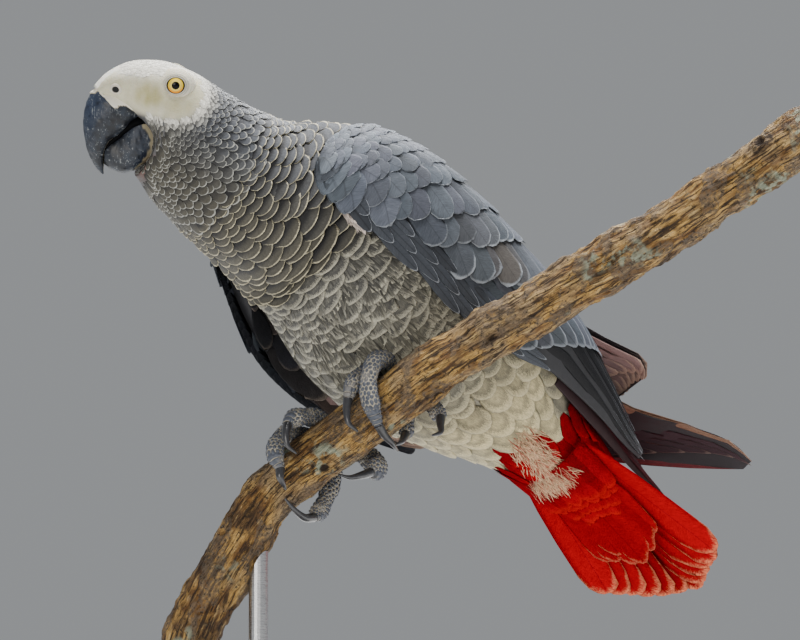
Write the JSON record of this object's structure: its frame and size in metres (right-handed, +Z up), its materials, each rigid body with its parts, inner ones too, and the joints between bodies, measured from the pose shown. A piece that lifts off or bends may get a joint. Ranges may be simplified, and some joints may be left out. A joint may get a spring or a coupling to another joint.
{
  "type": "grey parrot model",
  "caption": "Life-size grey parrot with a red tail, leaning forward on a rising cut branch, one far wing drooped, on a flat base with a rod.",
  "frame": {"origin": "centre of the base plate's underside, which rests on the floor", "axes": "+Z up; the bird faces -X with its body pitched 40.5 degrees up, its left side is -Y, and the branch rises towards +X and -Y"},
  "size_m": [0.3208, 0.2525, 0.3255],
  "materials": {
    "face_feathers": "very short pale feathers over bare skin",
    "neck_feathers": "grey feathers with pale edges",
    "belly_feathers": "pale grey and cream soft feathers",
    "wing_grey": "blue-grey feathers",
    "flight_dark": "dark flight feathers",
    "tail_red": "scarlet feathers",
    "bill_horn": "dark slate horn, satin",
    "tongue": "dark, moist",
    "eye": "clear gloss over a pale yellow iris",
    "foot_skin": "small grey scales",
    "claw_horn": "dark horn, glossy",
    "bark": "rough yellow-brown bark",
    "stand_black": "painted black, matt",
    "stand_steel": "brushed"
  },
  "bodies": {
    "root": {"belly": "belly_feathers", "bill_lower": "bill_horn", "bill_upper": "bill_horn", "branch": "bark", "breast": "neck_feathers", "claw_back_inner_left": "claw_horn", "claw_back_inner_right": "claw_horn", "claw_back_outer_left": "claw_horn", "claw_back_outer_right": "claw_horn", "claw_inner_left": "claw_horn", "claw_inner_right": "claw_horn", "claw_outer_left": "claw_horn", "claw_outer_right": "claw_horn", "eye_left": "eye", "eye_right": "eye", "head": "face_feathers", "neck": "neck_feathers", "shank_left": "foot_skin", "shank_right": "foot_skin", "stand_base": "stand_black", "stand_collar": "stand_steel", "stand_rod": "stand_steel", "tail_coverts_under": "tail_red", "tail_coverts_upper": "tail_red", "tail_feather_left_1": "tail_red", "tail_feather_left_2": "tail_red", "tail_feather_left_3": "tail_red", "tail_feather_left_4": "tail_red", "tail_feather_left_5": "tail_red", "tail_feather_left_6": "tail_red", "tail_feather_right_1": "tail_red", "tail_feather_right_2": "tail_red", "tail_feather_right_3": "tail_red", "tail_feather_right_4": "tail_red", "tail_feather_right_5": "tail_red", "tail_feather_right_6": "tail_red", "thigh_left": "belly_feathers", "thigh_right": "belly_feathers", "toe_back_inner_left": "foot_skin", "toe_back_inner_right": "foot_skin", "toe_back_outer_left": "foot_skin", "toe_back_outer_right": "foot_skin", "toe_inner_left": "foot_skin", "toe_inner_right": "foot_skin", "toe_outer_left": "foot_skin", "toe_outer_right": "foot_skin", "tongue": "tongue", "vent": "belly_feathers", "wing_left_coverts": "wing_grey", "wing_left_primaries": "flight_dark", "wing_left_secondaries": "flight_dark", "wing_left_shoulder": "wing_grey", "wing_right_coverts": "wing_grey", "wing_right_primaries": "flight_dark", "wing_right_secondaries": "flight_dark", "wing_right_shoulder": "wing_grey"}
  },
  "joints": []
}
